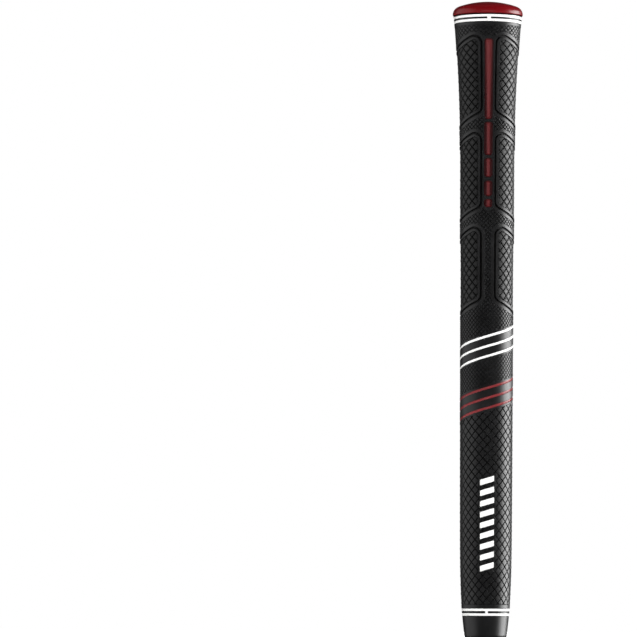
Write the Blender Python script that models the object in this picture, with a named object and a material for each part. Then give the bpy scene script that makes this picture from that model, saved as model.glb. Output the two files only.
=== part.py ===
"""Golf grip, standing on its tip with the butt cap up, in metres.

The grip is a tapered rubber sleeve that slides over the butt of a golf club's shaft. The origin is the
centre of the tip's mouth, +Z runs along the bore towards the cap, and the alignment line faces -Y.
An angle round the grip is counted from -Y towards +X, and a depth is counted inwards from the skin.
"""

import math
from bisect import bisect_right

import bmesh
import bpy
from mathutils import Vector

MM = 0.001
SIDES = 36
TURN_STEP = math.tau / SIDES
SHARP_ANGLE = math.radians(35.0)
MERGE_DISTANCE = 0.001 * MM
GAP = 0.3 * MM
INLAY_GAP = 0.12 * MM
PROUD = 1.0 * MM

# The sleeve's skin: (height, radius) from the tip's face to the sleeve's top face.
SLEEVE_SKIN = (
    (0.0, 8.80),
    (8.5, 9.74),
    (14.0, 10.24),
    (20.0, 10.55),
    (36.0, 10.93),
    (80.0, 11.10),
    (130.0, 11.20),
    (171.0, 11.47),
    (205.0, 11.68),
    (221.6, 12.04),
    (238.4, 12.75),
    (256.0, 13.93),
    (261.2, 14.40),
)
SKIN_RINGS = (0.0, 2.0, 5.0, 8.5, 12.0, 16.0, 22.0, 30.0, 42.0, 80.0, 130.0, 171.0, 205.0, 214.0, 222.0)
SKIN_RINGS += (230.0, 238.0, 247.0, 256.0, 261.2)
SLEEVE_TOP = SLEEVE_SKIN[-1][0] * MM

# The bore takes a 15.24 mm (0.600 inch) shaft butt, which ends against the seat, and tapers to the tip.
SEAT_HEIGHT = 258.0 * MM
BORE_RADIUS_BUTT = 7.62 * MM
BORE_RADIUS_TIP = 5.60 * MM
MOUTH_CHAMFER = 0.8 * MM

# The stiff core lines the upper half of the bore.
CORE_BOTTOM = 120.0 * MM
CORE_RADIUS_BOTTOM = 8.2 * MM
CORE_RADIUS_TOP = 9.0 * MM

# The end cap: a flange with a rounded shoulder and a low crown, a spigot, and a vent hole down its axis.
CAP_UNDERSIDE = SLEEVE_TOP + GAP
CAP_TOP = 267.5 * MM
CAP_RADIUS = 14.76 * MM
CAP_EDGE_RADIUS = 0.5 * MM
CAP_EDGE_STEPS = 3
SHOULDER_RADIUS = 3.43 * MM
SHOULDER_HEIGHT = 262.1 * MM
SHOULDER_SWEEP = 71
SHOULDER_STEPS = 6
CROWN_RADIUS = 12.45 * MM
CROWN_RISE = 2.15 * MM
CROWN_SHARES = (0.8, 0.6, 0.4, 0.25)
SPIGOT_RADIUS = BORE_RADIUS_BUTT - GAP
VENT_RADIUS = 1.4 * MM

# Painted channels: the channel's depth, and the depth of the paint's face in it.
CHANNEL_DEPTH = 0.8 * MM
PAINT_DEPTH = 0.1 * MM

# Pairs of rings, joined by a short bridge at the front: the heights of the two rings' centres.
RING_WIDTH = 1.15 * MM
BUTT_RINGS = (258.6 * MM, 260.4 * MM)
TIP_RINGS = (9.7 * MM, 11.65 * MM)
BRIDGE_HALF_ANGLE = math.radians(3.5)

# The alignment line: (bottom, top) of each dash, from the butt down.
DASHES = ((216.9, 250.8), (201.8, 215.9), (192.6, 200.7), (184.6, 191.2), (179.9, 183.5))
DASH_WIDTH = 3.6 * MM
DASH_END = 1.2 * MM
SLOT_END_ROWS = (0.0, 0.15, 0.5, 1.0)
SLOT_END_WIDTH = 0.45
SLOT_MIDDLE_ROWS = 2

# Spiral stripes, which climb towards +X at the front and stop short of meeting at the back.
STRIPE_SLOPE = 0.295
STRIPE_WIDTH = 1.1 * MM
STRIPE_HALF_ANGLE = 17 * TURN_STEP
STRIPE_PITCH = 4.18 * MM
STRIPES_PER_COLOUR = 3
WHITE_STRIPE_TOP = 126.0 * MM
RED_STRIPE_TOP = 104.3 * MM

# The plain mark near the tip: a column of short slanted bars.
MARK_BARS = 9
MARK_TOP = 65.6 * MM
MARK_PITCH = 4.5 * MM
MARK_HALF_ANGLE = math.radians(16.0)
MARK_BAR_WIDTH = 2.4 * MM

# Grip panels: each row has one panel on either side, a chevron with its low point at the side.
# A row is the (bottom, top) of its panels' upright edges, which start at an arc length from the front.
PANEL_ROWS = ((220.3, 253.7), (180.4, 212.9), (141.3, 173.2))
PANEL_START = 3.0 * MM
PANEL_SLOPE = 0.44
PANEL_CORNER = 3.0 * MM
CLEAR_OF_START = 1.0 * MM
CLEAR_OF_CORNER = 4.5 * MM
CORNER_STEPS = 3
OUTLINE_WIDTH = 0.8 * MM
OUTLINE_DEPTH = 0.35 * MM

RUBBER_BLACK = {"color": (0.022, 0.022, 0.023), "roughness": 0.62}
CORE_GREY = {"color": (0.060, 0.060, 0.063), "roughness": 0.70}
RUBBER_RED = {"color": (0.420, 0.016, 0.024), "roughness": 0.48}
PAINT_WHITE = {"color": (0.860, 0.860, 0.850), "roughness": 0.45}
PAINT_RED = {"color": (0.330, 0.012, 0.018), "roughness": 0.42}


def knot_slope(i):
    """The skin's slope at a point of SLEEVE_SKIN, as the harmonic mean of the slopes beside it."""
    last = len(SLEEVE_SKIN) - 1
    slopes = []
    for a, b in ((i - 1, i), (i, i + 1)):
        if a >= 0 and b <= last:
            (z0, r0), (z1, r1) = SLEEVE_SKIN[a], SLEEVE_SKIN[b]
            slopes.append((r1 - r0) / (z1 - z0))
    if len(slopes) == 1:
        return slopes[0]
    return 2 * slopes[0] * slopes[1] / (slopes[0] + slopes[1])


def skin_radius(height):
    """The sleeve's outer radius at a height: a smooth curve through SLEEVE_SKIN."""
    z = height / MM
    i = bisect_right([point[0] for point in SLEEVE_SKIN], z) - 1
    i = min(max(i, 0), len(SLEEVE_SKIN) - 2)
    (z0, r0), (z1, r1) = SLEEVE_SKIN[i], SLEEVE_SKIN[i + 1]
    span = z1 - z0
    t = (z - z0) / span
    rise = r0 * (1 + 2 * t) * (1 - t) ** 2 + r1 * t * t * (3 - 2 * t)
    bend = knot_slope(i) * t * (1 - t) ** 2 - knot_slope(i + 1) * t * t * (1 - t)
    return (rise + bend * span) * MM


def bore_radius(height):
    """The bore's radius at a height, which tapers evenly from the seat to the tip."""
    return BORE_RADIUS_TIP + (BORE_RADIUS_BUTT - BORE_RADIUS_TIP) * height / SEAT_HEIGHT


def material(name, look):
    """A plain Principled material."""
    made = bpy.data.materials.new(name)
    made.use_nodes = True
    shader = made.node_tree.nodes["Principled BSDF"]
    shader.inputs["Base Color"].default_value = (*look["color"], 1.0)
    shader.inputs["Roughness"].default_value = look["roughness"]
    made.diffuse_color = (*look["color"], 1.0)
    return made


def add_object(name, bm, look=None):
    """Turns a bmesh into an object of the scene: a cutter if it is given no material."""
    bmesh.ops.recalc_face_normals(bm, faces=bm.faces)
    mesh = bpy.data.meshes.new(name)
    bm.to_mesh(mesh)
    bm.free()
    mesh.shade_smooth()
    mesh.set_sharp_from_angle(angle=SHARP_ANGLE)
    made = bpy.data.objects.new(name, mesh)
    bpy.context.scene.collection.objects.link(made)
    if look is None:
        made.hide_render = True
        made.display_type = "WIRE"
    else:
        mesh.materials.append(look)
    return made


def turned(name, profile, look):
    """A ring-shaped solid: a closed profile of (radius, height) turned about the Z axis."""
    bm = bmesh.new()
    verts = [bm.verts.new((r, 0.0, z)) for r, z in profile]
    edges = [bm.edges.new((a, b)) for a, b in zip(verts, verts[1:] + verts[:1])]
    bmesh.ops.spin(
        bm, geom=verts + edges, cent=(0, 0, 0), axis=(0, 0, 1), angle=math.tau, steps=SIDES, use_merge=True
    )
    bmesh.ops.remove_doubles(bm, verts=bm.verts, dist=MERGE_DISTANCE)
    return add_object(name, bm, look)


def add_plate(bm, points, faces, inner, outer):
    """Adds a closed plate that follows the sleeve's skin.

    points are (angle, height), faces index them, and the plate reaches from depth inner to depth outer.
    """
    layers = []
    for depth in (inner, outer):
        layer = []
        for angle, height in points:
            r = skin_radius(height) - depth
            layer.append(bm.verts.new((r * math.sin(angle), -r * math.cos(angle), height)))
        layers.append(layer)
    used = {}
    for face in faces:
        bm.faces.new([layers[1][i] for i in face])
        bm.faces.new([layers[0][i] for i in reversed(face)])
        for a, b in zip(face, face[1:] + face[:1]):
            used[(a, b)] = (b, a)
    for (a, b), back in used.items():
        if back not in used:
            bm.faces.new([layers[0][a], layers[0][b], layers[1][b], layers[1][a]])


def strip_faces(count, closed=False):
    """The four-sided faces between two rows of points, which alternate low, high, low, high."""
    faces = []
    for i in range(count if closed else count - 1):
        a, b = 2 * i, 2 * ((i + 1) % count)
        faces.append([a, b, b + 1, a + 1])
    return faces


def channel_and_paint(cutter, name, points, faces, look, narrow):
    """Adds a channel to the cutter, and makes the paint that fills it a little narrower.

    points and narrow are the channel's and the paint's outlines.
    """
    add_plate(cutter, points, faces, CHANNEL_DEPTH, -PROUD)
    bm = bmesh.new()
    add_plate(bm, narrow, faces, CHANNEL_DEPTH - INLAY_GAP, PAINT_DEPTH)
    return add_object(name, bm, look)


def slanted_band(angles, height, width):
    """The points of a band that climbs at the stripes' slope and passes the front at this height."""
    climb = STRIPE_SLOPE * skin_radius(height)
    half = width / 2 * math.hypot(1.0, STRIPE_SLOPE)
    points = []
    for angle in angles:
        middle = height + climb * angle
        points += [(angle, middle - half), (angle, middle + half)]
    return points


def facet_angles(half_angle):
    """The angles of the sleeve's edges within half_angle of the front, and half_angle on either side."""
    inside = math.ceil(round(half_angle / TURN_STEP, 6)) - 1
    return [-half_angle] + [i * TURN_STEP for i in range(-inside, inside + 1)] + [half_angle]


def slanted_inlay(cutter, name, height, width, half_angle, look):
    """A painted band with its channel: a spiral stripe or a bar of the mark."""
    angles = facet_angles(half_angle)
    points = slanted_band(angles, height, width)
    end = half_angle - INLAY_GAP / skin_radius(height)
    narrow = slanted_band([-end] + angles[1:-1] + [end], height, width - 2 * INLAY_GAP)
    return channel_and_paint(cutter, name, points, strip_faces(len(angles)), look, narrow)


def ladder(rings, width, bridge):
    """The points and faces of two rings round the grip that a bridge joins at the front."""
    angles = [-bridge, 0.0, bridge] + [i * TURN_STEP for i in range(1, SIDES)]
    heights = []
    for middle in rings:
        heights += [middle - width / 2, middle + width / 2]
    points = [(angle, height) for angle in angles for height in heights]
    rows = len(heights)
    faces = []
    for i in range(len(angles)):
        a = i * rows
        b = (i + 1) % len(angles) * rows
        for row in range(rows - 1):
            between_rings = row == 1
            if not between_rings or i < 2:
                faces.append([a + row, b + row, b + row + 1, a + row + 1])
    return points, faces


def ring_pair(cutter, name, rings, look):
    """Two painted rings and their bridge, as one piece of paint in one channel."""
    points, faces = ladder(rings, RING_WIDTH, BRIDGE_HALF_ANGLE)
    bridge = BRIDGE_HALF_ANGLE - INLAY_GAP / skin_radius(rings[0])
    narrow, _ = ladder(rings, RING_WIDTH - 2 * INLAY_GAP, bridge)
    return channel_and_paint(cutter, name, points, faces, look, narrow)


def slot_points(low, high, width, end):
    """The points of an upright slot at the front, whose ends are rounded over the length end."""
    radius = skin_radius((low + high) / 2)
    rows = [(low + end * share, share) for share in SLOT_END_ROWS]
    for i in range(1, SLOT_MIDDLE_ROWS + 1):
        rows.append((low + end + (high - low - 2 * end) * i / (SLOT_MIDDLE_ROWS + 1), 1.0))
    rows += [(high - end * share, share) for share in reversed(SLOT_END_ROWS)]
    points = []
    for height, share in rows:
        rounding = SLOT_END_WIDTH + (1 - SLOT_END_WIDTH) * math.sqrt(1 - (1 - share) ** 2)
        half = width / 2 * rounding / radius
        points += [(-half, height), (0.0, height), (half, height)]
    return points


def slot_faces(rows):
    """The faces of a slot that is two faces wide."""
    faces = []
    for i in range(rows - 1):
        for j in (0, 1):
            a = 3 * i + j
            faces.append([a, a + 1, a + 4, a + 3])
    return faces


def dash(cutter, name, low, high, look):
    """One dash of the alignment line with its channel."""
    points = slot_points(low, high, DASH_WIDTH, DASH_END)
    narrow = slot_points(low + INLAY_GAP, high - INLAY_GAP, DASH_WIDTH - 2 * INLAY_GAP, DASH_END)
    return channel_and_paint(cutter, name, points, slot_faces(len(points) // 3), look, narrow)


def rounded_corner(corner, before, after, radius):
    """The points of an arc that rounds a corner between two neighbouring points."""
    back = (before - corner).normalized()
    ahead = (after - corner).normalized()
    half = back.angle(ahead) / 2
    centre = corner + (back + ahead).normalized() * radius / math.sin(half)
    start = corner + back * radius / math.tan(half) - centre
    end = corner + ahead * radius / math.tan(half) - centre
    points = []
    for i in range(CORNER_STEPS + 1):
        points.append(centre + start.slerp(end, i / CORNER_STEPS).normalized() * radius)
    return points


def panel_centreline(row):
    """A panel's groove, unrolled flat: points of (arc length round the grip, height), and the radius used."""
    bottom, top = (height * MM for height in row)
    radius = skin_radius((top + bottom) / 2)
    inner = PANEL_START
    side = math.pi / 2 * radius
    outer = 2 * side - inner
    drop = PANEL_SLOPE * (side - inner)
    corners = [
        Vector((inner, bottom)),
        Vector((side, bottom - drop)),
        Vector((outer, bottom)),
        Vector((outer, top)),
        Vector((side, top - drop)),
        Vector((inner, top)),
    ]
    low_points = (corners[1], corners[4])
    points = []
    for i, corner in enumerate(corners):
        before, after = corners[i - 1], corners[(i + 1) % len(corners)]
        if corner in low_points:
            points.append(corner)
        else:
            points += rounded_corner(corner, before, after, PANEL_CORNER)
        points += between(points[-1], after, radius)
    return points, radius


def between(start, after, radius):
    """Points on the line from start towards after, one on each of the turned sleeve's edges."""
    points = []
    direction = 1 if after.x > start.x else -1
    for i in range(1, SIDES // 2):
        x = i * TURN_STEP * radius
        past_start = direction * (x - start.x) > CLEAR_OF_START
        before_corner = direction * (after.x - x) > CLEAR_OF_CORNER
        if past_start and before_corner:
            points.append(start.lerp(after, (x - start.x) / (after.x - start.x)))
    return points if direction > 0 else points[::-1]


def offset_loop(points, distance):
    """A closed outline moved sideways by a distance, with mitred corners."""
    moved = []
    for i, point in enumerate(points):
        ahead = (points[(i + 1) % len(points)] - point).normalized()
        behind = (point - points[i - 1]).normalized()
        along = (ahead + behind).normalized()
        normal = Vector((along.y, -along.x))
        moved.append(point + normal * distance / along.dot(ahead))
    return moved


def panel_groove(cutter, row, mirror):
    """Adds one panel's outline to the cutter, on the +X side or mirrored to the -X side."""
    centreline, radius = panel_centreline(row)
    outside = offset_loop(centreline, OUTLINE_WIDTH / 2)
    inside = offset_loop(centreline, -OUTLINE_WIDTH / 2)
    points = []
    for a, b in zip(outside, inside):
        points += [(mirror * a.x / radius, a.y), (mirror * b.x / radius, b.y)]
    add_plate(cutter, points, strip_faces(len(centreline), closed=True), OUTLINE_DEPTH, -PROUD)


def sleeve_profile():
    """The sleeve's section: its skin, the mouth, the bore, and the pocket that holds the core."""
    skin = [(skin_radius(z * MM), z * MM) for z in reversed(SKIN_RINGS)]
    step = CORE_BOTTOM - GAP
    inside = [
        (BORE_RADIUS_TIP + MOUTH_CHAMFER, 0.0),
        (bore_radius(MOUTH_CHAMFER), MOUTH_CHAMFER),
        (bore_radius(step), step),
        (CORE_RADIUS_BOTTOM + GAP, step),
        (CORE_RADIUS_TOP + GAP, SLEEVE_TOP),
    ]
    return skin + inside


def core_profile():
    """The core's section: a thin tube whose bore carries on the sleeve's."""
    return [
        (CORE_RADIUS_TOP, SLEEVE_TOP),
        (CORE_RADIUS_BOTTOM, CORE_BOTTOM),
        (bore_radius(CORE_BOTTOM), CORE_BOTTOM),
        (bore_radius(SLEEVE_TOP), SLEEVE_TOP),
    ]


def arc(centre_radius, centre_height, radius, start, end, steps):
    """Points of (radius, height) along an arc, its angles in degrees from straight out."""
    points = []
    for i in range(steps + 1):
        angle = math.radians(start + (end - start) * i / steps)
        points.append((centre_radius + radius * math.cos(angle), centre_height + radius * math.sin(angle)))
    return points


def cap_profile():
    """The cap's section, from the spigot's outside round the flange and over the crown to the vent."""
    edge_height = CAP_UNDERSIDE + CAP_EDGE_RADIUS
    edge = arc(CAP_RADIUS - CAP_EDGE_RADIUS, edge_height, CAP_EDGE_RADIUS, -90, 0, CAP_EDGE_STEPS)
    centre = CAP_RADIUS - SHOULDER_RADIUS
    shoulder = arc(centre, SHOULDER_HEIGHT, SHOULDER_RADIUS, 0, SHOULDER_SWEEP, SHOULDER_STEPS)
    crown = []
    for share in (*CROWN_SHARES, VENT_RADIUS / CROWN_RADIUS):
        crown.append((CROWN_RADIUS * share, CAP_TOP - CROWN_RISE * share**2))
    spigot = [(VENT_RADIUS, SEAT_HEIGHT), (SPIGOT_RADIUS, SEAT_HEIGHT), (SPIGOT_RADIUS, CAP_UNDERSIDE)]
    return spigot + edge + shoulder + crown


def clear_scene():
    """Removes what the scene starts with."""
    for existing in list(bpy.data.objects):
        bpy.data.objects.remove(existing)


def build():
    """Makes every piece of the grip."""
    clear_scene()
    white = material("paint_white", PAINT_WHITE)
    red = material("paint_red", PAINT_RED)
    sleeve = turned("grip_sleeve", sleeve_profile(), material("rubber_black", RUBBER_BLACK))
    turned("stiff_core", core_profile(), material("core_grey", CORE_GREY))
    turned("end_cap", cap_profile(), material("rubber_red", RUBBER_RED))

    cutter = bmesh.new()
    ring_pair(cutter, "butt_ring_inlay", BUTT_RINGS, white)
    ring_pair(cutter, "tip_ring_inlay", TIP_RINGS, white)
    for i, (low, high) in enumerate(DASHES):
        dash(cutter, f"alignment_dash_{i + 1}", low * MM, high * MM, red)
    for colour, top, look in (("white", WHITE_STRIPE_TOP, white), ("red", RED_STRIPE_TOP, red)):
        for i in range(STRIPES_PER_COLOUR):
            height = top - i * STRIPE_PITCH
            name = f"{colour}_stripe_{i + 1}"
            slanted_inlay(cutter, name, height, STRIPE_WIDTH, STRIPE_HALF_ANGLE, look)
    for i in range(MARK_BARS):
        height = MARK_TOP - i * MARK_PITCH
        slanted_inlay(cutter, f"mark_bar_{i + 1}", height, MARK_BAR_WIDTH, MARK_HALF_ANGLE, white)
    for row in PANEL_ROWS:
        for mirror in (1, -1):
            panel_groove(cutter, row, mirror)

    cut = sleeve.modifiers.new("channels", "BOOLEAN")
    cut.operation = "DIFFERENCE"
    cut.solver = "EXACT"
    cut.object = add_object("channel_cutter", cutter)


build()
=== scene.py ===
"""Looks of the golf grip: a knurled black rubber sleeve, a red end cap and painted inlays.

Each skin is drawn flat, as the sleeve's surface unrolled, and then wrapped round the CAD sleeve's radius.
On the flat pattern u runs round the grip from the front, as arc length at PATTERN_RADIUS, and z runs up it.
Lengths are millimetres unless a name says otherwise, and objects are made in metres.
"""

import math

import bpy
import numpy as np
from mathutils import Matrix, Vector
from mathutils.geometry import delaunay_2d_cdt


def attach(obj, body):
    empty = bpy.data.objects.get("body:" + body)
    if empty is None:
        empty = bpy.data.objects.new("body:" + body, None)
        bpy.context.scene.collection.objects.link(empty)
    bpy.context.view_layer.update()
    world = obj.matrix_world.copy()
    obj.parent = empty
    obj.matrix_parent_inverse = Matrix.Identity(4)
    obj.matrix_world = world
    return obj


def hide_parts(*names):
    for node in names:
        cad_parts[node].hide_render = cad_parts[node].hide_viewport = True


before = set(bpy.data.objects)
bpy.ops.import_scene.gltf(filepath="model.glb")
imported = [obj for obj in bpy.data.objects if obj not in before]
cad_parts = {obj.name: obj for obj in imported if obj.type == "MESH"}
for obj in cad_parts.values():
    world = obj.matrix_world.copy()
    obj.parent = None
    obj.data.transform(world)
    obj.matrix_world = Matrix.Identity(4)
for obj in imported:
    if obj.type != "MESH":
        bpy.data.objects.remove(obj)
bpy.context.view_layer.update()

MM = 0.001
WELD = 1e-5

# The pattern: the radius that it is unrolled at, half a turn and one degree along u, and the number of
# points round a rim and round a turned solid.
PATTERN_RADIUS = 11.2
HALF_TURN = math.pi * PATTERN_RADIUS
DEGREE = PATTERN_RADIUS * math.pi / 180
RIM_STEPS = 120
TURN_STEPS = 144
SHARP_ANGLE = math.radians(30)

# How the CAD sleeve's skin is read: how many points a full row has at least, how much their radii spread,
# and the least radius above the tip.
ROW_POINTS = 30
ROW_SPREAD = 0.02
SKIN_LEAST = 9.1
SKIN_SAMPLES = 1201

# How finely outlines are drawn: the degrees between a rounded corner's points, and the longest edges.
CORNER_STEP = 12
SLOT_CORNER_STEP = 15
BAND_CORNER_STEP = 30
EDGE_ACROSS = 3 * DEGREE
EDGE_UP = 3.0

# How far from an outline distances are worked out, and how closely edges are cut to a field.
REACH = 4.0
EDGE_TOLERANCE = 0.03
CUT_TOLERANCE = 0.004
CUT_STEPS = 14

# A grid of points that keeps the triangles on smooth rubber even: angles in degrees, then heights, and how
# clear of every edge the points stay.
GRID_START = -171
GRID_ANGLE = 6
GRID_BOTTOM = 1.5
GRID_RISE = 2.5
GRID_CLEAR = 0.5

# Diamond knurl: a coarse diamond's size on the pattern, and where its rows start. Each kind has its share
# of that size, its grooves' half width and depth, and how far a pad falls from its centre to the grooves.
COARSE_WIDTH = 18 * DEGREE
COARSE_HEIGHT = 3.78
KNURL_START = 1.3
KNURLS = {
    "coarse": {"size": 1.0, "half": 0.28, "depth": 0.40, "crown": 0.14},
    "fine": {"size": 0.5, "half": 0.22, "depth": 0.30, "crown": 0.11},
}

# A field of knurl: how far inside its edge it is at full depth, the fine line along that edge, where a
# field round the grip ends, and where a pad's centre is between two grooves.
FIELD_FADE = 0.14
FIELD_LINE_HALF = 0.10
FIELD_LINE_DEPTH = 0.14
FIELD_END = 178 * DEGREE
PAD_CENTRE = 0.5
PAD_CLEAR = 0.3
KNURL_BOTTOM = 13.8
KNURL_TOP = 256.6

# Painted channels: their depth and walls, the paint's underside and its edge inside the channel's outline,
# and the smooth rubber round a mark.
CHANNEL_DEPTH = 0.62
CHANNEL_WALL = 0.05
PAINT_BOTTOM = 0.58
PAINT_EDGE = -0.07
MARK_HALO = 0.6

# The rings: their width, half the width of the bridge that joins two, and the heights of their middles.
RING_WIDTH = 1.15
BRIDGE_HALF = 3.5 * DEGREE
BUTT_RINGS = (258.6, 260.4)
TIP_RINGS = (9.7, 11.65)

# Spiral stripes: each colour's first one passes the front at its top height, and the others lie a pitch
# apart below it. The rubber between them is smooth, and so is the halo round each colour's three.
STRIPE_SLOPE = 0.295
STRIPE_WIDTH = 1.1
STRIPE_HALF_ANGLE = math.radians(170)
STRIPE_PITCH = 4.18
STRIPE_COUNT = 3
STRIPE_CORNER = 0.3
STRIPE_TOPS = {"white": 126.0, "red": 104.3}
STRIPE_HALO = 0.75

# Plain slanted bars at the front, near the tip.
MARK_BARS = 9
MARK_TOP = 65.6
MARK_PITCH = 4.5
MARK_HALF_ANGLE = math.radians(16)
MARK_BAR_WIDTH = 2.4
MARK_CORNER = 0.25

# The alignment line's dashes, as spans in height, and the smooth zone that they stand in.
DASHES = ((216.9, 250.8), (201.8, 215.9), (192.6, 200.7), (184.6, 191.2), (179.9, 183.5))
DASH_WIDTH = 3.6
DASH_CORNER = 1.2
DASH_ZONE = (178.3, 252.2)
DASH_ZONE_WIDTH = 4.6
DASH_ZONE_CORNER = 2.2

# The dashes' painted shade: the bright middle's half width, how much it widens between two heights, and its
# fading.
DASH_BRIGHT_HALF = 0.9
DASH_BRIGHT_SPREAD = 0.45
DASH_BRIGHT_HEIGHTS = (215.0, 250.0)
DASH_SIDE_FADE = 0.5
DASH_END_FADE = 0.7

# Grip panels: their spans in height, the line of the groove, and the depth at each distance outside it. The
# window of coarse knurl starts inside that line, and the fine knurl stops outside it.
PANEL_ROWS = ((220.3, 253.7), (180.4, 212.9), (141.3, 173.2))
PANEL_START = 3.0
PANEL_SLOPE = 0.44
PANEL_CORNER = 3.2
PANEL_SIDE_CORNER = 1.2
PANEL_PROFILE = (
    (-1.75, 0.16),
    (-1.6, 0.30),
    (-1.42, 0.0),
    (-0.52, 0.0),
    (-0.36, 0.22),
    (-0.2, 0.7),
    (0.2, 0.7),
    (0.36, 0.22),
    (0.52, 0.0),
)
PANEL_GROOVE_HALF = 0.5
PANEL_WINDOW = -1.6
PANEL_BORDER = 1.8

# The sleeve's rounded rims, as (height, depth), and the section of its bore and of the core.
SLEEVE_TOP = 261.2
RIM = ((0.0, 0.40), (0.25, 0.14), (0.8, 0.0), (261.1, 0.0), (SLEEVE_TOP, 0.1))
SEAT_HEIGHT = 258.0
BORE_TIP = 5.60
BORE_BUTT = 7.62
MOUTH_CHAMFER = 0.8
MOUTH_BEND = 0.3 * MOUTH_CHAMFER
CORE_BOTTOM = 120.0
CORE_RADIUS_BOTTOM = 8.2
CORE_RADIUS_TOP = 9.0
CORE_CHAMFER = 0.2
GAP = 0.3

# The cap: a flange with a rounded shoulder that sweeps some degrees, a low crown with a vent, and a spigot
# that plugs the core.
CAP_UNDERSIDE = 261.5
CAP_TOP = 267.5
CAP_RADIUS = 14.76
CAP_EDGE = 0.5
CAP_EDGE_STEPS = 6
SHOULDER_RADIUS = 3.43
SHOULDER_HEIGHT = 262.1
SHOULDER_SWEEP = 71
SHOULDER_STEPS = 16
CROWN_RADIUS = 12.45
CROWN_RISE = 2.15
CROWN_EDGE = 0.6
CROWN_INNER = 2.4
CROWN_POINTS = 16
SPIGOT_RADIUS = 7.32
SPIGOT_CHAMFER = 0.4
VENT_RADIUS = 1.4
VENT_CHAMFER = 0.35

# The paint's face: the depth at each distance outside its channel's outline.
PAINT_FACES = {
    "white": ((-0.55, 0.0), (-0.22, 0.02), (-0.12, 0.05), (-0.07, 0.12)),
    "red": ((-0.55, 0.36), (-0.38, 0.32), (-0.2, 0.16), (-0.12, 0.06), (-0.07, 0.06)),
    "dash": ((-1.3, 0.36), (-0.95, 0.45), (-0.8, 0.44), (-0.2, 0.12), (-0.07, 0.08)),
}

# Colours are linear. Sizes in the materials, the camera, the lights and the floor are metres.
# NOISE_RANGE is the range that noise mostly keeps to.
NOISE_RANGE = (0.3, 0.7)
NOISE_DETAIL = 3.0
GRAIN_DETAIL = 4.0
BUMP_STRENGTH = 0.4

# The rubber: two colours for its tops, and the depths over which its grooves turn darker, as painted shade,
# and rougher.
RUBBER_DARK = (0.0055, 0.0055, 0.0057)
RUBBER_LIGHT = (0.0085, 0.0085, 0.0089)
RUBBER_GROOVE_SHADE = (0.0014, 0.0014, 0.0014)
RUBBER_DEEP_RANGE = (0.14, 0.32)
RUBBER_ROUGH = (0.36, 0.48)
RUBBER_DEEP_ROUGH = 0.65
RUBBER_GRAIN = 0.00022
RUBBER_CLOUD = 0.009
RUBBER_CLOUD_RANGE = (0.35, 0.65)
RUBBER_BUMP = 0.00001
RUBBER_BUMP_STRENGTH = 0.5

# The stiff core: two colours, the roughness range, and the grain, cloud and bump.
CORE_DARK = (0.050, 0.050, 0.052)
CORE_LIGHT = (0.072, 0.072, 0.076)
CORE_ROUGH = (0.62, 0.78)
CORE_GRAIN = 0.0004
CORE_CLOUD = 0.006
CORE_BUMP = 0.00004

# The alignment line's red: the painted shade at its sides and ends, and the two colours of its bright
# middle.
LINE_PAINTED_SHADE = (0.020, 0.0018, 0.0024)
LINE_DARK = (0.085, 0.0095, 0.0105)
LINE_LIGHT = (0.115, 0.0125, 0.0140)
LINE_ROUGH = (0.36, 0.48)
LINE_SPECULAR = 0.3
LINE_GRAIN = 0.0004
LINE_CLOUD = 0.006
LINE_BUMP = 0.00002

# Satin finishes: two colours, the roughness range, the grain's size, its bump and the specular level.
SATIN_CLOUD = 0.007
SATINS = {
    "rubber_red": {
        "dark": (0.120, 0.0012, 0.0030),
        "light": (0.155, 0.0020, 0.0045),
        "rough": (0.25, 0.36),
        "grain_size": 0.0003,
        "bump": 0.00003,
        "specular": 0.36,
    },
    "paint_white": {
        "dark": (0.82, 0.82, 0.80),
        "light": (0.88, 0.88, 0.87),
        "rough": (0.37, 0.48),
        "grain_size": 0.0004,
        "bump": 0.00002,
        "specular": 0.5,
    },
    "paint_red": {
        "dark": (0.18, 0.022, 0.025),
        "light": (0.23, 0.029, 0.032),
        "rough": (0.27, 0.38),
        "grain_size": 0.0004,
        "bump": 0.00002,
        "specular": 0.5,
    },
}

# Camera: level with the tip, and turned so that the grip stands right of the middle of the picture.
CAMERA_DISTANCE = 2.25
CAMERA_HEIGHT = 0.007
CAMERA_TURN = math.radians(-2.4)
CAMERA_LEAN = math.radians(0.31)
CAMERA_ASIDE = -0.0707
CAMERA_AIM = 0.1337
CAMERA_LENS = 302.9
CAMERA_SENSOR = 36
CAMERA_REACH = 50

# Area lights that face the middle of the grip: azimuth in degrees, where 90 is the grip's right, height,
# distance from the axis, size and watts. Glossy rubber mirrors only the key and the fill.
LIGHT_AIM = 0.13
LIGHTS = {
    "key": {"azimuth": 100, "height": 0.16, "distance": 0.9, "size": (0.75, 0.9), "power": 23},
    "fill": {"azimuth": -88, "height": 0.20, "distance": 0.9, "size": (1.4, 1.6), "power": 6},
    "front": {"azimuth": -5, "height": 0.25, "distance": 1.2, "size": (0.9, 0.9), "power": 18},
    "back": {"azimuth": 180, "height": 0.30, "distance": 1.0, "size": (1.0, 1.0), "power": 8},
    "top": {"azimuth": 200, "height": 1.25, "distance": 0.15, "size": (0.7, 0.7), "power": 4},
}
MIRRORED_LIGHTS = ("key", "fill")
WORLD_WHITE = (1, 1, 1, 1)
WORLD_LIGHT = 0.03

# The floor, which shows white to the camera.
FLOOR_HALF = 1.2
FLOOR_THICKNESS = 0.01
FLOOR_DARK = (0.86, 0.86, 0.86)
FLOOR_LIGHT = (0.90, 0.90, 0.90)
FLOOR_CLOUD = 0.05
FLOOR_GRAIN = 0.002
FLOOR_ROUGH = (0.75, 0.9)
FLOOR_WHITE = (1, 1, 1)
FLOOR_GLOW = 0.92


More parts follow.
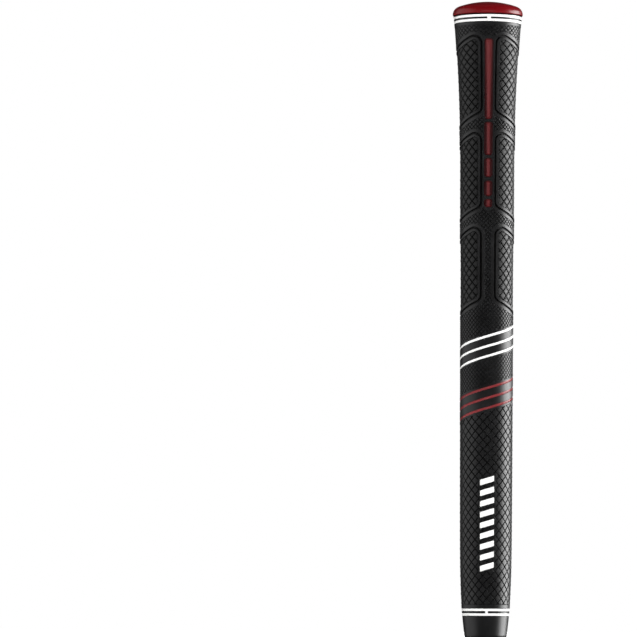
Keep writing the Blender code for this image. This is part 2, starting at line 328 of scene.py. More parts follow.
def cad_skin():
    """The CAD sleeve's (height, outer radius) wherever its skin has a full row of points."""
    verts = np.array([v.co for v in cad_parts["grip_sleeve"].data.vertices]) / MM
    heights = np.round(verts[:, 2], 3)
    radii = np.hypot(verts[:, 0], verts[:, 1])
    knots = []
    for height in np.unique(heights):
        row = radii[heights == height]
        full = np.count_nonzero(row > row.max() - ROW_SPREAD) >= ROW_POINTS
        if full and (height == 0 or row.max() > SKIN_LEAST):
            knots.append((height, row.max()))
    return np.array(knots)


def smooth_curve(knots, count):
    """A smooth curve through points of (height, radius), as evenly spaced heights and their radii."""
    z, r = knots.T
    steps = np.diff(r) / np.diff(z)
    middle_slopes = 2 * steps[:-1] * steps[1:] / (steps[:-1] + steps[1:])
    slopes = np.concatenate([steps[:1], middle_slopes, steps[-1:]])
    heights = np.linspace(z[0], z[-1], count)
    i = np.clip(np.searchsorted(z, heights, side="right") - 1, 0, len(z) - 2)
    span = z[i + 1] - z[i]
    t = (heights - z[i]) / span
    rise = r[i] * (1 + 2 * t) * (1 - t) ** 2 + r[i + 1] * t * t * (3 - 2 * t)
    bend = slopes[i] * t * (1 - t) ** 2 - slopes[i + 1] * t * t * (1 - t)
    return heights, rise + bend * span


SKIN = smooth_curve(cad_skin(), SKIN_SAMPLES)


def skin_radius(height):
    """The sleeve's outer radius at a height or an array of heights."""
    return np.interp(height, *SKIN)


def offset_loop(loop, offset):
    """A closed anticlockwise outline moved outwards, with mitred corners."""
    ahead = np.roll(loop, -1, axis=0) - loop
    ahead /= np.linalg.norm(ahead, axis=1)[:, None]
    along = ahead + np.roll(ahead, 1, axis=0)
    along /= np.linalg.norm(along, axis=1)[:, None]
    normal = np.stack([along[:, 1], -along[:, 0]], axis=1)
    mitre = offset / np.sum(along * ahead, axis=1)
    return loop + normal * mitre[:, None]


def rounded(corners, radii, step=CORNER_STEP):
    """An outline with each corner rounded by its own radius, with a point about every step degrees."""
    loop = []
    count = len(corners)
    for i in range(count):
        corner = Vector(corners[i])
        back = (Vector(corners[i - 1]) - corner).normalized()
        ahead = (Vector(corners[(i + 1) % count]) - corner).normalized()
        half = back.angle(ahead) / 2
        centre = corner + (back + ahead).normalized() * radii[i] / math.sin(half)
        start = corner + back * radii[i] / math.tan(half) - centre
        sweep = (math.pi - 2 * half) * (1 if back.cross(ahead) < 0 else -1)
        steps = max(2, round(math.degrees(abs(sweep)) / step))
        for k in range(steps + 1):
            loop.append(centre + Matrix.Rotation(sweep * k / steps, 2) @ start)
    return np.array([tuple(p) for p in loop])


def finely(row, closed):
    """A row of points with more points added, so that no edge is too long."""
    ends = np.roll(row, -1, axis=0) if closed else row[1:]
    out = []
    for a, b in zip(row, ends):
        longest = max(abs(b[0] - a[0]) / EDGE_ACROSS, abs(b[1] - a[1]) / EDGE_UP)
        count = max(1, math.ceil(longest - WELD))
        out += [a + (b - a) * k / count for k in range(count)]
    if not closed:
        out.append(row[-1])
    return np.array(out)


class Shape:
    """A closed outline, whose arc lengths are measured at a radius of its own."""

    def __init__(self, loop, radius=PATTERN_RADIUS):
        self.loop = loop
        self.scale = np.array([PATTERN_RADIUS / radius, 1.0])

    def rows(self, offset):
        """The outline moved outwards, as the one row of points on the pattern that goes all round it."""
        curve = finely(offset_loop(self.loop, offset) * self.scale, closed=True)
        return [np.vstack([curve, curve[:1]])]

    def distance(self, points):
        """How far outside the outline points of the pattern are: negative inside, REACH when far off."""
        points = points / self.scale
        low, high = self.loop.min(0) - REACH, self.loop.max(0) + REACH
        near = np.all((points > low) & (points < high), axis=1)
        spots = points[near]
        best = np.full(len(spots), REACH * REACH)
        inside = np.zeros(len(spots), bool)
        for start, end in zip(self.loop, np.roll(self.loop, -1, axis=0)):
            side = end - start
            share = np.clip((spots - start) @ side / (side @ side), 0, 1)
            gap = spots - start - share[:, None] * side
            best = np.minimum(best, np.einsum("ij,ij->i", gap, gap))
            if side[1]:
                beside = (start[1] > spots[:, 1]) != (end[1] > spots[:, 1])
                inside ^= beside & (spots[:, 0] < start[0] + side[0] * (spots[:, 1] - start[1]) / side[1])
        out = np.full(len(points), REACH)
        out[near] = np.where(inside, -1, 1) * np.sqrt(best)
        return out


class Rings:
    """Two rings round the grip, with a bridge that joins them at the front."""

    def __init__(self, heights):
        self.heights = heights

    def distance(self, points):
        """How far outside the rings and the bridge points of the pattern are."""
        low, high = self.heights
        u, z = points.T
        bridge = np.maximum(abs(u) - BRIDGE_HALF, abs(z - (low + high) / 2) - (high - low) / 2)
        ring = np.minimum(abs(z - low), abs(z - high)) - RING_WIDTH / 2
        return np.minimum(bridge, ring)

    def rows(self, offset):
        """The rings' edges and the bridge's sides, moved outwards."""
        half = RING_WIDTH / 2 + offset
        low, high = self.heights
        rows = [level(z) for z in (low - half, low + half, high - half, high + half)]
        for u in (-BRIDGE_HALF - offset, BRIDGE_HALF + offset):
            rows.append(np.array([(u, low + half), (u, high - half)]))
        return rows


class Field:
    """A region of knurl: an outline less some holes, each grown by its own margin."""

    def __init__(self, kind, outer, holes=(), line=FIELD_LINE_DEPTH):
        self.kind = kind
        self.outer = outer
        self.holes = holes
        self.line = line
        self.height = COARSE_HEIGHT * KNURLS[kind]["size"]
        self.width = COARSE_WIDTH * KNURLS[kind]["size"]
        self.share = KNURLS[kind]["half"] * math.hypot(1 / self.height, 1 / self.width)

    def distance(self, points):
        """How far outside the field points of the pattern are."""
        out = self.outer.distance(points)
        for shape, margin in self.holes:
            out = np.maximum(out, margin - shape.distance(points))
        return out

    def rows(self, offset):
        """The field's edge moved outwards, as short rows: the parts of all its outlines that are on it."""
        rows = list(self.outer.rows(offset))
        for shape, margin in self.holes:
            rows += shape.rows(margin - offset)
        kept = []
        for row in rows:
            middles = (row[:-1] + row[1:]) / 2
            for i in np.flatnonzero(abs(self.distance(middles) - offset) < EDGE_TOLERANCE):
                kept.append(row[i:i + 2])
        return kept

    def depth(self, points):
        """The knurl's depth at points of the pattern."""
        edge = self.distance(points)
        a, b = self.to_lattice(points)
        whole = np.minimum(abs(a - np.round(a)), abs(b - np.round(b)))
        knurl = KNURLS[self.kind]["depth"] * np.clip(1 - whole / self.share, 0, 1)
        knurl = np.maximum(knurl, KNURLS[self.kind]["crown"] * (1 - 2 * whole))
        knurl *= np.clip(-edge / FIELD_FADE, 0, 1)
        return np.maximum(knurl, self.line * np.clip(1 - abs(edge) / FIELD_LINE_HALF, 0, 1))

    def to_lattice(self, points):
        """The two families of grooves run where the first or the second of these is whole."""
        up = (points[..., 1] - KNURL_START) / self.height
        across = points[..., 0] / self.width
        return up + across, up - across

    def from_lattice(self, a, b):
        """The point of the pattern at a place in the lattice."""
        return np.stack([(a - b) / 2 * self.width, (a + b) / 2 * self.height + KNURL_START], axis=-1)

    def stops(self, values):
        """Where one family's lines run over a range, which are a groove's, and which are its middle."""
        whole = np.arange(math.floor(values.min()) - 1, math.ceil(values.max()) + 2)
        shares = np.array([0.0, self.share, PAD_CENTRE, 1 - self.share])
        places = (whole[:, None] + shares).ravel()
        shares = np.tile(shares, len(whole))
        return places, shares != PAD_CENTRE, shares == 0

    def draw(self, pattern):
        """Adds the grooves' lines, clipped to the field, and the pads' centres to a pattern."""
        low, high = self.outer.loop.min(0) * self.outer.scale, self.outer.loop.max(0) * self.outer.scale
        corners = np.array([(u, z) for u in (low[0], high[0]) for z in (low[1], high[1])])
        a, b = self.to_lattice(corners)
        first, groove_a, middle_a = self.stops(a)
        second, groove_b, middle_b = self.stops(b)
        nodes = self.from_lattice(first[:, None], second[None, :])
        edge = np.full(nodes.shape[:2], REACH)
        near = np.all((nodes > low - REACH) & (nodes < high + REACH), axis=2)
        edge[near] = self.distance(nodes[near])
        self.draw_lines(pattern, nodes[groove_a], edge[groove_a])
        self.draw_lines(pattern, nodes[:, groove_b].swapaxes(0, 1), edge[:, groove_b].T)
        crossings = np.argwhere(middle_a[:, None] & middle_b & (edge < -2 * FIELD_FADE))
        for step in ((1, 1), (1, -1), (-1, 1), (-1, -1)):
            corners = crossings + step
            pattern.add_edges(nodes[tuple(crossings.T)], nodes[tuple(corners.T)])
        pads = ~groove_a[:, None] & ~groove_b & (edge < -PAD_CLEAR)
        pattern.add_points(nodes[pads])

    def draw_lines(self, pattern, lines, edge):
        """Adds the parts of rows of points that are inside the field, given the points' distances to it."""
        starts, ends = lines[:, :-1].reshape(-1, 2), lines[:, 1:].reshape(-1, 2)
        start_in, end_in = edge[:, :-1].ravel() < 0, edge[:, 1:].ravel() < 0
        whole = start_in & end_in
        pattern.add_edges(starts[whole], ends[whole])
        cut = start_in != end_in
        inner = np.where(start_in[:, None], starts, ends)[cut]
        outer = np.where(start_in[:, None], ends, starts)[cut]
        low, high = np.zeros(len(inner)), np.ones(len(inner))
        for _ in range(CUT_STEPS):
            middle = (low + high) / 2
            out = self.distance(inner + (outer - inner) * middle[:, None]) > CUT_TOLERANCE
            high = np.where(out, middle, high)
            low = np.where(out, low, middle)
        pattern.add_edges(inner, inner + (outer - inner) * high[:, None])


class Pattern:
    """Points and edges on the flat pattern, which are joined into triangles."""

    def __init__(self):
        self.points = []
        self.starts = []
        self.ends = []

    def add_points(self, points):
        """Adds loose points."""
        if len(points):
            self.points.append(np.asarray(points, float))

    def add_edges(self, starts, ends):
        """Adds edges between pairs of points."""
        if len(starts):
            self.starts.append(np.asarray(starts, float))
            self.ends.append(np.asarray(ends, float))

    def add_row(self, row):
        """Adds the edges along a row of points."""
        self.add_edges(row[:-1], row[1:])

    def add_outlines(self, shape, offsets):
        """Adds a shape's outline, moved outwards by each offset."""
        for offset in offsets:
            for row in shape.rows(offset):
                self.add_row(row)

    def triangles(self):
        """The points and the triangles between them, with the edges kept and points that meet made one."""
        starts, ends = np.vstack(self.starts), np.vstack(self.ends)
        loose = np.vstack(self.points) if self.points else np.zeros((0, 2))
        keys = np.round(np.vstack([starts, ends, loose]) / WELD).astype(np.int64)
        keys, index = np.unique(keys, axis=0, return_inverse=True)
        pairs = index.reshape(-1)[:2 * len(starts)].reshape(2, -1).T
        pairs = np.unique(np.sort(pairs, axis=1), axis=0)
        pairs = pairs[pairs[:, 0] != pairs[:, 1]]
        made = delaunay_2d_cdt([Vector(p) for p in keys * WELD], pairs.tolist(), [], 0, WELD, False)
        points = np.array([tuple(p) for p in made[0]])
        faces = np.array([f for f in made[2] if len(f) == 3])
        a, b, c = (points[faces[:, k]] for k in range(3))
        area = (b[:, 0] - a[:, 0]) * (c[:, 1] - a[:, 1]) - (c[:, 0] - a[:, 0]) * (b[:, 1] - a[:, 1])
        faces[area < 0] = faces[area < 0][:, ::-1]
        return points, faces


def level(height):
    """A row of points round the whole grip at one height."""
    u = np.linspace(-HALF_TURN, HALF_TURN, RIM_STEPS + 1)
    return np.stack([u, np.full(len(u), height)], axis=1)


def weld_seam(points, faces):
    """Points and faces of a whole turn, with the points of its two ends made one."""
    left = np.flatnonzero(points[:, 0] < -HALF_TURN + 10 * WELD)
    right = np.flatnonzero(points[:, 0] > HALF_TURN - 10 * WELD)
    if not len(left):
        return points, faces
    left = left[np.argsort(points[left, 1])]
    right = right[np.argsort(points[right, 1])]
    if len(left) != len(right):
        raise ValueError(f"the seam's ends have {len(left)} and {len(right)} points")
    same = np.arange(len(points))
    same[right] = left
    kept = np.ones(len(points), bool)
    kept[right] = False
    number = np.cumsum(kept) - 1
    return points[kept], number[same[faces]]


def wrapped(points, depth):
    """Points of the pattern wrapped round the grip, at a depth under the skin, in metres."""
    angle = points[:, 0] / PATTERN_RADIUS
    radius = skin_radius(points[:, 1]) - depth
    return np.stack([radius * np.sin(angle), -radius * np.cos(angle), points[:, 1]], axis=1) * MM


def border_edges(faces):
    """The edges that only one triangle uses, in that triangle's direction."""
    edges = np.vstack([faces[:, [0, 1]], faces[:, [1, 2]], faces[:, [2, 0]]])
    forward = {(a, b) for a, b in edges.tolist()}
    return [(a, b) for a, b in edges.tolist() if (b, a) not in forward]


def add_mesh(name, verts, faces, look, relief_and_shade=None):
    """Makes an object of points and faces, and of a value at each point, if given, that the look reads for
    painted shade.
    """
    mesh = bpy.data.meshes.new(name)
    mesh.from_pydata([tuple(v) for v in verts], [], [list(f) for f in faces])
    mesh.materials.append(look)
    mesh.shade_smooth()
    mesh.set_sharp_from_angle(angle=SHARP_ANGLE)
    if relief_and_shade is not None:
        attribute = mesh.attributes.new("relief_and_shade", "FLOAT", "POINT")
        attribute.data.foreach_set("value", np.asarray(relief_and_shade, np.float32))
    made = bpy.data.objects.new(name, mesh)
    bpy.context.scene.collection.objects.link(made)
    return made


def stand_for(piece, node):
    """Makes a piece stand for a CAD node: hangs it from the root body and hides the node's part."""
    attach(piece, "root")
    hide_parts(node)


def turned(name, profile, look):
    """A ring-shaped solid: a closed anticlockwise profile of (radius, height) turned about the Z axis."""
    verts = []
    faces = []
    count = len(profile)
    for k in range(TURN_STEPS):
        angle = math.tau * k / TURN_STEPS
        for radius, height in profile:
            verts.append((radius * math.sin(angle) * MM, -radius * math.cos(angle) * MM, height * MM))
        ahead = (k + 1) % TURN_STEPS
        for i in range(count):
            j = (i + 1) % count
            faces.append((k * count + i, ahead * count + i, ahead * count + j, k * count + j))
    return add_mesh(name, verts, faces, look)


def panel_shape(row, mirror):
    """The line of one panel's groove, on the +X side or mirrored to the -X side."""
    bottom, top = row
    radius = float(skin_radius((top + bottom) / 2))
    inner = PANEL_START
    side = math.pi / 2 * radius
    outer = 2 * side - inner
    drop = PANEL_SLOPE * (side - inner)
    corners = [(inner, bottom), (side, bottom - drop), (outer, bottom)]
    corners += [(outer, top), (side, top - drop), (inner, top)]
    radii = [PANEL_CORNER, PANEL_SIDE_CORNER, PANEL_CORNER] * 2
    if mirror < 0:
        corners = [(-u, z) for u, z in reversed(corners)]
    return Shape(rounded(corners, radii), radius)


def slanted_shape(height, width, half_angle, corner):
    """A band that climbs at the stripes' slope and passes the front at this height."""
    radius = float(skin_radius(height))
    half = width / 2 * math.hypot(1.0, STRIPE_SLOPE)
    end = half_angle * radius
    corners = []
    for u, side in ((-end, -1), (end, -1), (end, 1), (-end, 1)):
        corners.append((u, height + STRIPE_SLOPE * u + side * half))
    return Shape(rounded(corners, [corner] * 4, BAND_CORNER_STEP), radius)


def upright_shape(low, high, width, corner):
    """An upright slot at the front with rounded corners."""
    radius = float(skin_radius((low + high) / 2))
    half = width / 2
    corners = [(-half, low), (half, low), (half, high), (-half, high)]
    return Shape(rounded(corners, [corner] * 4, SLOT_CORNER_STEP), radius)


def slanted_field(kind, low, high, holes=()):
    """A field round the grip between two edges, each a height at the front and a slope."""
    corners = []
    for (height, slope), ends in ((low, (-FIELD_END, FIELD_END)), (high, (FIELD_END, -FIELD_END))):
        for u in ends:
            corners.append((u, height + slope * u))
    return Field(kind, Shape(np.array(corners)), holes)


def painted_channels():
    """The painted channels' shapes by the node of their paint, each with its paint's kind."""
    channels = {}
    for end, heights in (("butt", BUTT_RINGS), ("tip", TIP_RINGS)):
        channels[f"{end}_ring_inlay"] = (Rings(heights), "white")
    for i, (low, high) in enumerate(DASHES):
        channels[f"alignment_dash_{i + 1}"] = (upright_shape(low, high, DASH_WIDTH, DASH_CORNER), "dash")
    for colour, top in STRIPE_TOPS.items():
        for i in range(STRIPE_COUNT):
            band = slanted_shape(top - i * STRIPE_PITCH, STRIPE_WIDTH, STRIPE_HALF_ANGLE, STRIPE_CORNER)
            channels[f"{colour}_stripe_{i + 1}"] = (band, colour)
    for i in range(MARK_BARS):
        bar = slanted_shape(MARK_TOP - i * MARK_PITCH, MARK_BAR_WIDTH, MARK_HALF_ANGLE, MARK_CORNER)
        channels[f"mark_bar_{i + 1}"] = (bar, "white")
    return channels


def knurl_fields(panels, channels):
    """The knurl: fine from the red stripes up, coarse below them and in the panels' windows."""
    climb = math.hypot(1.0, STRIPE_SLOPE)
    span = (STRIPE_COUNT - 1) * STRIPE_PITCH
    lowest = STRIPE_TOPS["red"] - span
    below = lowest - (STRIPE_WIDTH / 2 + STRIPE_HALO) * climb
    slope = STRIPE_SLOPE * float(skin_radius(lowest)) / PATTERN_RADIUS
    holes = [(panel, PANEL_BORDER) for panel in panels]
    holes.append((upright_shape(*DASH_ZONE, DASH_ZONE_WIDTH, DASH_ZONE_CORNER), 0.0))
    for top in STRIPE_TOPS.values():
        band = slanted_shape(top - span / 2, STRIPE_WIDTH + span / climb, STRIPE_HALF_ANGLE, STRIPE_CORNER)
        holes.append((band, STRIPE_HALO))
    bars = [(shape, MARK_HALO) for node, (shape, _) in channels.items() if node.startswith("mark_bar")]
    fields = [
        slanted_field("fine", (lowest, slope), (KNURL_TOP, 0.0), holes),
        slanted_field("coarse", (KNURL_BOTTOM, 0.0), (below, slope), bars),
    ]
    for panel in panels:
        window = Shape(offset_loop(panel.loop, PANEL_WINDOW), PATTERN_RADIUS / panel.scale[0])
        fields.append(Field("coarse", window, line=0.0))
    return fields


def sleeve_depth(points, panels, channels, fields):
    """The depth of the sleeve's surface under its skin at points of the pattern."""
    offsets, depths = np.array(PANEL_PROFILE).T
    depth = np.interp(points[:, 1], *np.array(RIM).T)
    for panel in panels:
        depth += np.interp(panel.distance(points), offsets, depths)
    for field in fields:
        depth += field.depth(points)
    for shape, _ in channels.values():
        channel = CHANNEL_DEPTH * np.clip(-shape.distance(points) / CHANNEL_WALL, 0, 1)
        depth = np.maximum(depth, channel)
    return depth


def grid_points(panels, channels, fields):
    """Loose points on the smooth rubber, clear of every edge."""
    heights = np.arange(GRID_BOTTOM, SLEEVE_TOP, GRID_RISE)
    grid = np.array([(u * DEGREE, z) for u in range(GRID_START, 180, GRID_ANGLE) for z in heights])
    clear = np.full(len(grid), REACH)
    for field in fields:
        clear = np.minimum(clear, field.distance(grid))
    for panel in panels:
        clear = np.minimum(clear, abs(abs(panel.distance(grid)) - PANEL_GROOVE_HALF))
    for shape, _ in channels.values():
        clear = np.minimum(clear, abs(shape.distance(grid)))
    return grid[clear > GRID_CLEAR]


def sleeve_pattern(panels, channels, fields):
    """Every edge of the sleeve's skin on the flat pattern."""
    pattern = Pattern()
    for height, _ in RIM:
        pattern.add_row(level(height))
    seam = finely(np.array([(HALF_TURN, 0.0), (HALF_TURN, SLEEVE_TOP)]), closed=False)
    pattern.add_row(seam)
    pattern.add_row(seam * (-1, 1))
    for panel in panels:
        pattern.add_outlines(panel, [offset for offset, _ in PANEL_PROFILE])
    for shape, _ in channels.values():
        pattern.add_outlines(shape, (0.0, -CHANNEL_WALL))
    for field in fields:
        line = (FIELD_LINE_HALF, 0.0) if field.line else ()
        pattern.add_outlines(field, (*line, -FIELD_FADE))
        field.draw(pattern)
    pattern.add_points(grid_points(panels, channels, fields))
    return pattern


def make_sleeve(look, panels, channels, fields):
    """The sleeve: its skin with every groove, and the bore with its pocket for the core."""
    points, faces = weld_seam(*sleeve_pattern(panels, channels, fields).triangles())
    relief_and_shade = sleeve_depth(points, panels, channels, fields)
    bore = [
        (BORE_TIP + MOUTH_CHAMFER, 0.0),
        (BORE_TIP + MOUTH_BEND, MOUTH_BEND),
        (bore_radius(MOUTH_CHAMFER), MOUTH_CHAMFER),
        (bore_radius(CORE_BOTTOM - GAP), CORE_BOTTOM - GAP),
        (CORE_RADIUS_BOTTOM + GAP, CORE_BOTTOM - GAP),
        (CORE_RADIUS_TOP + GAP, SLEEVE_TOP),
    ]
    verts = np.vstack([wrapped(points, relief_and_shade)] + [ring_points(*section) for section in bore])
    relief_and_shade = np.concatenate([relief_and_shade, np.zeros(len(bore) * RIM_STEPS)])
    rings = [rim_row(points, 0.0)]
    rings += [list(range(start, start + RIM_STEPS)) for start in range(len(points), len(verts), RIM_STEPS)]
    rings.append(rim_row(points, SLEEVE_TOP))
    faces = [tuple(f) for f in faces.tolist()]
    for near, far in zip(rings, rings[1:]):
        for i in range(RIM_STEPS):
            j = (i + 1) % RIM_STEPS
            faces.append((near[j], near[i], far[i], far[j]))
    piece = add_mesh("rubber_sleeve", verts, faces, look, relief_and_shade)
    stand_for(piece, "grip_sleeve")


def ring_points(radius, height):
    """Points of the bore round the axis, in metres, in the same order as a rim's."""
    angles = np.linspace(-math.pi, math.pi, RIM_STEPS + 1)[:-1]
    ring = np.stack([radius * np.sin(angles), -radius * np.cos(angles), np.full(RIM_STEPS, height)], axis=1)
    return ring * MM


def rim_row(points, height):
    """The points of the pattern at one of its two rims, in order round the grip."""
    row = np.flatnonzero(abs(points[:, 1] - height) < 10 * WELD)
    if len(row) != RIM_STEPS:
        raise ValueError(f"the rim at {height} has {len(row)} points")
    return row[np.argsort(points[row, 0])].tolist()


def bore_radius(height):
    """The bore's radius, which tapers evenly from the seat to the tip."""
    return BORE_TIP + (BORE_BUTT - BORE_TIP) * height / SEAT_HEIGHT


def dash_painted_light(shape, points):
    """How far a dash is out of its painted shade at points of the pattern: the shade darkens it to its ends
    and sides.
    """
    across = abs(points[:, 0] / shape.scale[0])
    half = DASH_BRIGHT_HALF + DASH_BRIGHT_SPREAD * np.interp(points[:, 1], DASH_BRIGHT_HEIGHTS, (0, 1))
    low, high = shape.loop[:, 1].min(), shape.loop[:, 1].max()
    to_end = np.minimum(points[:, 1] - low, high - points[:, 1])
    return np.clip((half - across) / DASH_SIDE_FADE, 0, 1) * np.clip(to_end / DASH_END_FADE, 0, 1)


def make_paint(node, shape, kind, look):
    """The paint that fills a channel: a thin solid whose face follows its kind's profile."""
    offsets, depths = np.array(PAINT_FACES[kind]).T
    pattern = Pattern()
    pattern.add_outlines(shape, offsets)
    if isinstance(shape, Rings):
        low, high = shape.heights[0] - RING_WIDTH, shape.heights[1] + RING_WIDTH
        for u in (-HALF_TURN, HALF_TURN):
            pattern.add_row(np.array([(u, low), (u, high)]))
    points, faces = pattern.triangles()
    centres = points[faces].mean(axis=1)
    faces = faces[shape.distance(centres) < PAINT_EDGE + WELD]
    used = np.unique(faces)
    number = np.zeros(len(points), int)
    number[used] = np.arange(len(used))
    points, faces = weld_seam(points[used], number[faces])
    depth = np.interp(shape.distance(points), offsets, depths)
    count = len(points)
    # A dash's value at each point is its share of painted light, against the painted shade at its sides and
    # ends.
    relief_and_shade = np.tile(dash_painted_light(shape, points), 2) if kind == "dash" else None
    verts = np.vstack([wrapped(points, depth), wrapped(points, np.full(count, PAINT_BOTTOM))])
    solid = [tuple(f) for f in faces.tolist()]
    solid += [(c + count, b + count, a + count) for a, b, c in faces.tolist()]
    solid += [(b, a, a + count, b + count) for a, b in border_edges(faces)]
    piece = add_mesh(f"{node}_paint", verts, solid, look, relief_and_shade)
    stand_for(piece, node)


def arc(centre_radius, centre_height, radius, start, end, steps):
    """Points of (radius, height) along an arc, its angles in degrees from straight out."""
    angles = np.radians(np.linspace(start, end, steps + 1))
    return [(centre_radius + radius * math.cos(a), centre_height + radius * math.sin(a)) for a in angles]


def crown(radius):
    """The crown's height at a radius."""
    return CAP_TOP - CROWN_RISE * (radius / CROWN_RADIUS) ** 2


def make_cap(look):
    """The end cap, as one turned solid."""
    profile = [
        (VENT_RADIUS, SEAT_HEIGHT),
        (SPIGOT_RADIUS - SPIGOT_CHAMFER, SEAT_HEIGHT),
        (SPIGOT_RADIUS, SEAT_HEIGHT + SPIGOT_CHAMFER),
        (SPIGOT_RADIUS, CAP_UNDERSIDE),
    ]
    profile += arc(CAP_RADIUS - CAP_EDGE, CAP_UNDERSIDE + CAP_EDGE, CAP_EDGE, -90, 0, CAP_EDGE_STEPS)
    shoulder = CAP_RADIUS - SHOULDER_RADIUS
    profile += arc(shoulder, SHOULDER_HEIGHT, SHOULDER_RADIUS, 0, SHOULDER_SWEEP, SHOULDER_STEPS)
    crown_radii = np.linspace(CROWN_RADIUS - CROWN_EDGE, CROWN_INNER, CROWN_POINTS)
    profile += [(radius, crown(radius)) for radius in crown_radii]
    profile += [(VENT_RADIUS + VENT_CHAMFER, crown(VENT_RADIUS)), (VENT_RADIUS, crown(0) - VENT_CHAMFER)]
    stand_for(turned("cap_dome", profile, look), "end_cap")


def make_core(look):
    """The stiff core, as one turned tube."""
    profile = [
        (bore_radius(CORE_BOTTOM), CORE_BOTTOM),
        (CORE_RADIUS_BOTTOM - CORE_CHAMFER, CORE_BOTTOM),
        (CORE_RADIUS_BOTTOM, CORE_BOTTOM + CORE_CHAMFER),
        (CORE_RADIUS_TOP, SLEEVE_TOP),
        (bore_radius(SLEEVE_TOP) + CORE_CHAMFER, SLEEVE_TOP),
        (bore_radius(SLEEVE_TOP), SLEEVE_TOP - CORE_CHAMFER),
    ]
    stand_for(turned("core_tube", profile, look), "stiff_core")


class Nodes:
    """A small helper that adds nodes to a material and joins them."""

    def __init__(self, name):
        self.look = bpy.data.materials.new(name)
        self.look.use_nodes = True
        self.tree = self.look.node_tree
        self.shader = self.tree.nodes["Principled BSDF"]
        self.place = self.add("ShaderNodeTexCoord").outputs["Object"]

    def add(self, kind, inputs=None, **settings):
        """Adds a node; inputs gives a value or another node's output for each socket named."""
        node = self.tree.nodes.new(kind)
        for key, value in settings.items():
            setattr(node, key, value)
        for key, value in (inputs or {}).items():
            self.set(node.inputs[key], value)
        return node

    def set(self, socket, value):
        """Gives a socket a value or a colour, or joins it to an output."""
        if isinstance(value, bpy.types.NodeSocket):
            self.tree.links.new(value, socket)
        elif isinstance(value, tuple):
            socket.default_value = (*value, 1)
        else:
            socket.default_value = value

    def shade(self, **settings):
        """Sets the shader's sockets: each name in the settings is a socket's, with _ for a space."""
        for name, value in settings.items():
            self.set(self.shader.inputs[name.replace("_", " ")], value)

    def noise(self, size, detail=NOISE_DETAIL):
        """Noise whose grains are about this big, in metres."""
        node = self.add("ShaderNodeTexNoise", {"Vector": self.place, "Scale": 1 / size, "Detail": detail})
        return node.outputs["Fac"]

    def map(self, value, source, target=(0, 1)):
        """A value whose source range is mapped to a target range."""
        inputs = dict(zip(("Value", "From Min", "From Max", "To Min", "To Max"), (value, *source, *target)))
        return self.add("ShaderNodeMapRange", inputs).outputs["Result"]

    def mix(self, share, first, second, kind="RGBA"):
        """A mix of two colours, or of two values where kind is FLOAT."""
        node = self.add("ShaderNodeMix", {"Factor": share}, data_type=kind)
        self.set(node.inputs["A"], first)
        self.set(node.inputs["B"], second)
        return node.outputs["Result"]

    def bump(self, height, distance, strength=BUMP_STRENGTH):
        """A bump of the given real height, in metres."""
        inputs = {"Height": height, "Distance": distance, "Strength": strength}
        self.set(self.shader.inputs["Normal"], self.add("ShaderNodeBump", inputs).outputs["Normal"])


def rubber_look():
    """Black moulded rubber with painted shade darkening its grooves, which are also rougher, and a fine
    grain.
    """
    n = Nodes("rubber_black")
    relief_and_shade = n.add("ShaderNodeAttribute", attribute_name="relief_and_shade").outputs["Fac"]
    grain = n.noise(RUBBER_GRAIN, GRAIN_DETAIL)
    tops = n.mix(n.map(n.noise(RUBBER_CLOUD), RUBBER_CLOUD_RANGE), RUBBER_DARK, RUBBER_LIGHT)
    deep = n.map(relief_and_shade, RUBBER_DEEP_RANGE)
    rough = n.map(grain, NOISE_RANGE, RUBBER_ROUGH)
    # Painted shade: the colour turns darker with the groove's depth.
    n.shade(Base_Color=n.mix(deep, tops, RUBBER_GROOVE_SHADE))
    n.shade(Roughness=n.mix(deep, rough, RUBBER_DEEP_ROUGH, "FLOAT"))
    n.bump(grain, RUBBER_BUMP, RUBBER_BUMP_STRENGTH)
    return n.look


def core_look():
    """Grey stiff rubber with a fine grain."""
    n = Nodes("core_grey")
    grain = n.noise(CORE_GRAIN)
    n.shade(Base_Color=n.mix(n.noise(CORE_CLOUD), CORE_DARK, CORE_LIGHT))
    n.shade(Roughness=n.map(grain, NOISE_RANGE, CORE_ROUGH))
    n.bump(grain, CORE_BUMP)
    return n.look


def satin_look(name, dark, light, rough, grain_size, bump, specular):
    """A satin finish: a slightly uneven colour and a fine grain."""
    n = Nodes(name)
    grain = n.noise(grain_size, GRAIN_DETAIL)
    n.shade(Base_Color=n.mix(n.map(n.noise(SATIN_CLOUD), NOISE_RANGE), dark, light))
    n.shade(Roughness=n.map(grain, NOISE_RANGE, rough), Specular_IOR_Level=specular)
    n.bump(grain, bump)
    return n.look


def line_look():
    """The alignment line's red, with painted shade darkening its sides and ends and a brighter middle."""
    n = Nodes("paint_red_line")
    painted_light = n.add("ShaderNodeAttribute", attribute_name="relief_and_shade").outputs["Fac"]
    grain = n.noise(LINE_GRAIN, GRAIN_DETAIL)
    middle = n.mix(n.noise(LINE_CLOUD), LINE_DARK, LINE_LIGHT)
    # Painted shade: the red turns to a dark maroon towards the dash's sides and ends.
    n.shade(Base_Color=n.mix(painted_light, LINE_PAINTED_SHADE, middle))
    n.shade(Roughness=n.map(grain, NOISE_RANGE, LINE_ROUGH), Specular_IOR_Level=LINE_SPECULAR)
    n.bump(grain, LINE_BUMP)
    return n.look


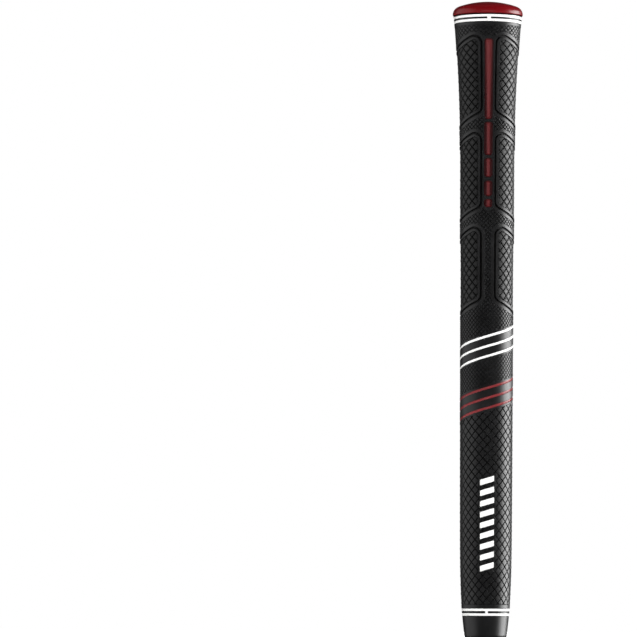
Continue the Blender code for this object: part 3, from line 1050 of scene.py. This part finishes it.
def make_camera():
    """The camera, which sees the whole grip."""
    data = bpy.data.cameras.new("camera")
    data.lens = CAMERA_LENS
    data.sensor_width = CAMERA_SENSOR
    data.clip_end = CAMERA_REACH
    camera = bpy.data.objects.new("camera", data)
    bpy.context.scene.collection.objects.link(camera)
    outwards = Vector((math.sin(CAMERA_TURN), -math.cos(CAMERA_TURN), 0))
    right = Vector((math.cos(CAMERA_TURN), math.sin(CAMERA_TURN), 0))
    camera.location = outwards * CAMERA_DISTANCE + Vector((0, 0, CAMERA_HEIGHT))
    aim = right * CAMERA_ASIDE + Vector((0, 0, CAMERA_AIM))
    turn = (aim - camera.location).to_track_quat("-Z", "Y").to_matrix().to_4x4()
    camera.matrix_world = Matrix.Translation(camera.location) @ turn @ Matrix.Rotation(CAMERA_LEAN, 4, "Z")
    bpy.context.scene.camera = camera


def make_light(name, azimuth, height, distance, size, power):
    """A soft rectangular light that faces the middle of the grip."""
    data = bpy.data.lights.new(name, "AREA")
    data.shape = "RECTANGLE"
    data.size, data.size_y = size
    data.energy = power
    light = bpy.data.objects.new(name, data)
    bpy.context.scene.collection.objects.link(light)
    angle = math.radians(azimuth)
    light.location = (distance * math.sin(angle), -distance * math.cos(angle), height)
    light.rotation_euler = (Vector((0, 0, LIGHT_AIM)) - light.location).to_track_quat("-Z", "Y").to_euler()
    light.visible_glossy = name in MIRRORED_LIGHTS


def make_world():
    """White behind everything for the camera, and a dim grey for the light it gives."""
    world = bpy.data.worlds.new("studio")
    world.use_nodes = True
    bpy.context.scene.world = world
    nodes, links = world.node_tree.nodes, world.node_tree.links
    ground = nodes["Background"]
    ground.inputs["Color"].default_value = WORLD_WHITE
    path = nodes.new("ShaderNodeLightPath")
    strength = nodes.new("ShaderNodeMapRange")
    strength.inputs["To Min"].default_value = WORLD_LIGHT
    links.new(path.outputs["Is Camera Ray"], strength.inputs["Value"])
    links.new(strength.outputs["Result"], ground.inputs["Strength"])


def make_floor():
    """A pale floor that the grip stands on, which glossy rubber doesn't mirror."""
    corners = ((-1, -1), (1, -1), (1, 1), (-1, 1))
    verts = [(x * FLOOR_HALF, y * FLOOR_HALF, z) for z in (0, -FLOOR_THICKNESS) for x, y in corners]
    faces = [(0, 1, 2, 3), (7, 6, 5, 4), (0, 4, 5, 1), (1, 5, 6, 2), (2, 6, 7, 3), (3, 7, 4, 0)]
    n = Nodes("floor_white")
    n.shade(Base_Color=n.mix(n.noise(FLOOR_CLOUD), FLOOR_DARK, FLOOR_LIGHT))
    n.shade(Roughness=n.map(n.noise(FLOOR_GRAIN), NOISE_RANGE, FLOOR_ROUGH))
    camera_ray = n.add("ShaderNodeLightPath").outputs["Is Camera Ray"]
    n.shade(Emission_Color=FLOOR_WHITE, Emission_Strength=n.map(camera_ray, (0, 1), (0, FLOOR_GLOW)))
    floor = add_mesh("floor", verts, faces, n.look)
    floor.visible_glossy = False


PANELS = [panel_shape(row, mirror) for row in PANEL_ROWS for mirror in (1, -1)]
CHANNELS = painted_channels()
FIELDS = knurl_fields(PANELS, CHANNELS)
PAINT_LOOKS = {"dash": line_look()}
for colour in STRIPE_TOPS:
    PAINT_LOOKS[colour] = satin_look(f"paint_{colour}", **SATINS[f"paint_{colour}"])

make_sleeve(rubber_look(), PANELS, CHANNELS, FIELDS)
for node, (shape, kind) in CHANNELS.items():
    make_paint(node, shape, kind, PAINT_LOOKS[kind])
make_cap(satin_look("rubber_red", **SATINS["rubber_red"]))
make_core(core_look())

make_camera()
for name, placing in LIGHTS.items():
    make_light(name, **placing)
make_world()
make_floor()
bpy.context.scene.view_settings.view_transform = "Standard"
bpy.context.scene.view_settings.look = "None"

bpy.context.view_layer.update()
